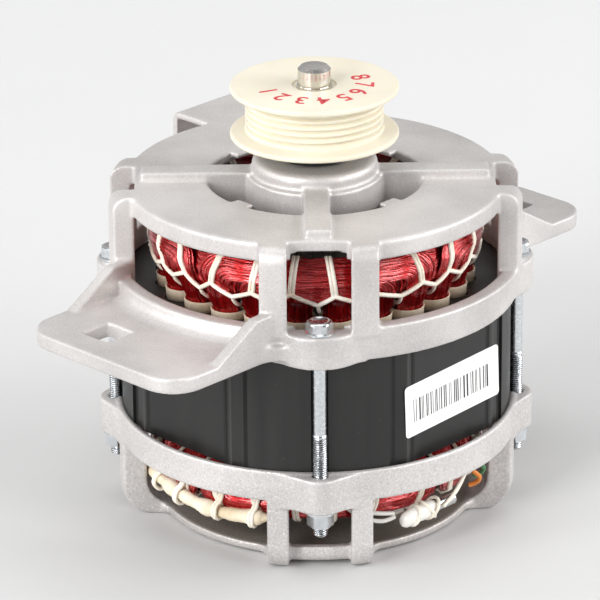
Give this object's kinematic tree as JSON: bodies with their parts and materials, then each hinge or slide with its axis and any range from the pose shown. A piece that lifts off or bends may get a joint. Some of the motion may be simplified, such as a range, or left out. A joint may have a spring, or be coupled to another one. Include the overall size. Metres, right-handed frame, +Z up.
{
  "type": "washing machine motor",
  "caption": "Open-frame belt-drive washing machine motor with cast end shields, mounting wings, laced windings and a grooved pulley on a turning shaft.",
  "frame": {"origin": "on the shaft axis at the foot of the lower end shield", "axes": "+Z up along the shaft towards the pulley, X and Y through the bolts, wings at 45 and 225 degrees"},
  "size_m": [0.1894, 0.1962, 0.1592],
  "materials": {
    "cast_aluminium": "sandy as-cast",
    "black_lacquer": "satin lacquer on laminations",
    "slot_paper": "pressed insulation paper",
    "red_enamel": "glossy enamelled copper wire",
    "lacing_cord": "flat woven lacing cord",
    "cream_tape": "woven tape wound on the leads",
    "bright_steel": "ground steel",
    "clear_sleeve": "milky sleeve",
    "zinc_steel": "zinc plated",
    "rotor_steel": "turned laminations",
    "black_rubber": "matt rubber",
    "ivory_nylon": "moulded nylon",
    "cage_brass": "pressed brass"
  },
  "bodies": {
    "stator": {"upper_end_shield": "cast_aluminium", "lower_end_shield": "cast_aluminium", "stator_core": "black_lacquer", "slot_liners": "slot_paper", "slot_wedges": "slot_paper", "main_winding": "red_enamel", "start_winding": "red_enamel", "phase_papers": "slot_paper", "upper_winding_turns": "red_enamel", "lower_winding_turns": "red_enamel", "upper_lacing": "lacing_cord", "lower_lacing": "lacing_cord", "lead_bundle": "cream_tape", "thermal_protector": "bright_steel", "protector_sleeve": "clear_sleeve", "through_bolts": "zinc_steel", "bolt_nuts": "zinc_steel", "bolt_washers": "zinc_steel", "upper_bearing_outer_ring": "bright_steel", "upper_bearing_shields": "bright_steel", "lower_bearing_outer_ring": "bright_steel", "lower_bearing_shields": "bright_steel", "upper_wave_washer": "bright_steel", "lower_wave_washer": "bright_steel"},
    "rotor": {"shaft": "bright_steel", "rotor_core": "rotor_steel", "rotor_cage": "cast_aluminium", "shaft_sleeve": "bright_steel", "dust_slinger": "black_rubber", "pulley": "ivory_nylon", "upper_bearing_inner_ring": "bright_steel", "lower_bearing_inner_ring": "bright_steel"},
    "upper_ball_set": {"upper_bearing_balls": "bright_steel", "upper_bearing_cage": "cage_brass"},
    "lower_ball_set": {"lower_bearing_balls": "bright_steel", "lower_bearing_cage": "cage_brass"}
  },
  "joints": [
    {"name": "rotor_spin", "type": "hinge", "parent": "stator", "child": "rotor", "pos_m": [0, 0, 0.06], "axis": [0, 0, 1], "continuous": true},
    {"name": "upper_ball_roll", "type": "hinge", "parent": "stator", "child": "upper_ball_set", "pos_m": [0, 0, 0.1175], "axis": [0, 0, 1], "continuous": true},
    {"name": "lower_ball_roll", "type": "hinge", "parent": "stator", "child": "lower_ball_set", "pos_m": [0, 0, 0.0102], "axis": [0, 0, 1], "continuous": true}
  ],
  "couplings": [
    {"joint": "upper_ball_roll", "follows": "rotor_spin", "ratio": 0.3647},
    {"joint": "lower_ball_roll", "follows": "rotor_spin", "ratio": 0.3647}
  ]
}
